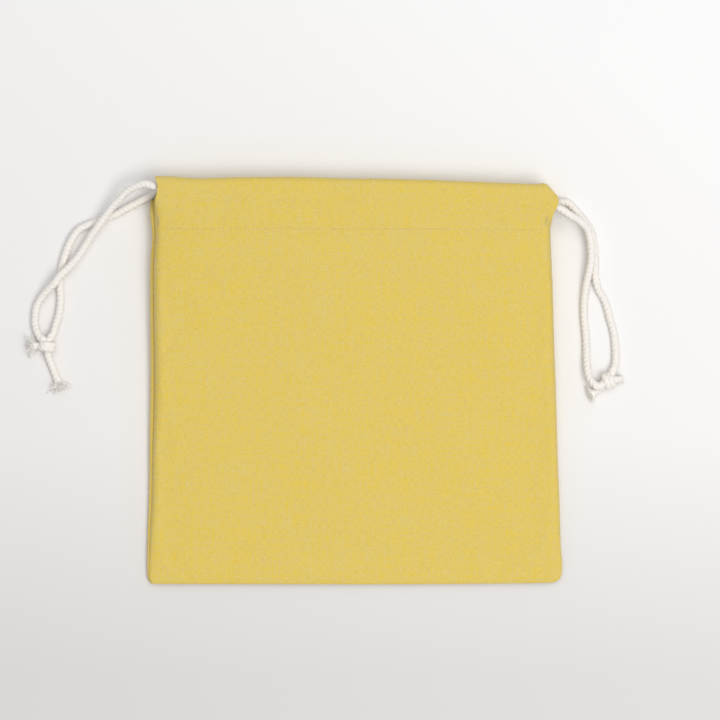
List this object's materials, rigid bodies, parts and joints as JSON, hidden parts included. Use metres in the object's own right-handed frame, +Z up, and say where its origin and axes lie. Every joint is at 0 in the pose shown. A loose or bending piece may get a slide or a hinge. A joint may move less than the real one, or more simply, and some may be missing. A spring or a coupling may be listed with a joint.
{
  "type": "treat pouch",
  "caption": "Flat cotton drawstring pouch for training treats: two sewn panels with a casing at the mouth and a knotted drawcord leaving each side.",
  "frame": {"origin": "centre of the underside of the pouch without its free cords, on the surface it lies on", "axes": "+Z up through the front panel, +Y from the bottom seam to the mouth, +X to the right side seen from the front"},
  "size_m": [0.226, 0.1525, 0.0141],
  "materials": {
    "cloth": "yellow chambray cotton weave, matt",
    "thread": "pale yellow polyester sewing thread",
    "cotton_cord": "undyed three-strand twisted cotton"
  },
  "bodies": {
    "pouch": {"front_panel": "cloth", "back_panel": "cloth", "front_casing_thread": "thread", "back_casing_thread": "thread", "left_seam_overlock": "thread", "right_seam_overlock": "thread", "bottom_seam_overlock": "thread", "left_seam_thread": "thread", "right_seam_thread": "thread", "bottom_seam_thread": "thread"},
    "left_corner": {"left_bartack": "thread", "left_front_slit_hem": "cloth", "left_back_slit_hem": "cloth"},
    "right_corner": {"right_bartack": "thread", "right_front_slit_hem": "cloth", "right_back_slit_hem": "cloth"},
    "left_drawcord": {"left_cord_in_casing": "cotton_cord", "left_cord_front_end": "cotton_cord", "left_cord_back_end": "cotton_cord", "left_knot": "cotton_cord", "left_long_tail": "cotton_cord", "left_short_tail": "cotton_cord"},
    "right_drawcord": {"right_cord_in_casing": "cotton_cord", "right_cord_front_end": "cotton_cord", "right_cord_back_end": "cotton_cord", "right_knot": "cotton_cord", "right_long_tail": "cotton_cord", "right_short_tail": "cotton_cord"}
  },
  "joints": [
    {"name": "left_pull", "type": "slide", "parent": "pouch", "child": "left_drawcord", "axis": [-1, 0, 0], "range_m": [0, 0.038]},
    {"name": "right_pull", "type": "slide", "parent": "pouch", "child": "right_drawcord", "axis": [1, 0, 0], "range_m": [0, 0.038]},
    {"name": "right_gather", "type": "slide", "parent": "pouch", "child": "right_corner", "axis": [-1, 0, 0], "range_m": [0, 0.038], "deforming": ["front_panel", "back_panel", "front_casing_thread", "back_casing_thread", "right_seam_overlock", "right_seam_thread"]},
    {"name": "left_gather", "type": "slide", "parent": "pouch", "child": "left_corner", "axis": [1, 0, 0], "range_m": [0, 0.038], "deforming": ["front_panel", "back_panel", "front_casing_thread", "back_casing_thread", "left_seam_overlock", "left_seam_thread"]}
  ],
  "couplings": [
    {"joint": "right_gather", "follows": "left_pull", "ratio": 1},
    {"joint": "left_gather", "follows": "right_pull", "ratio": 1}
  ]
}
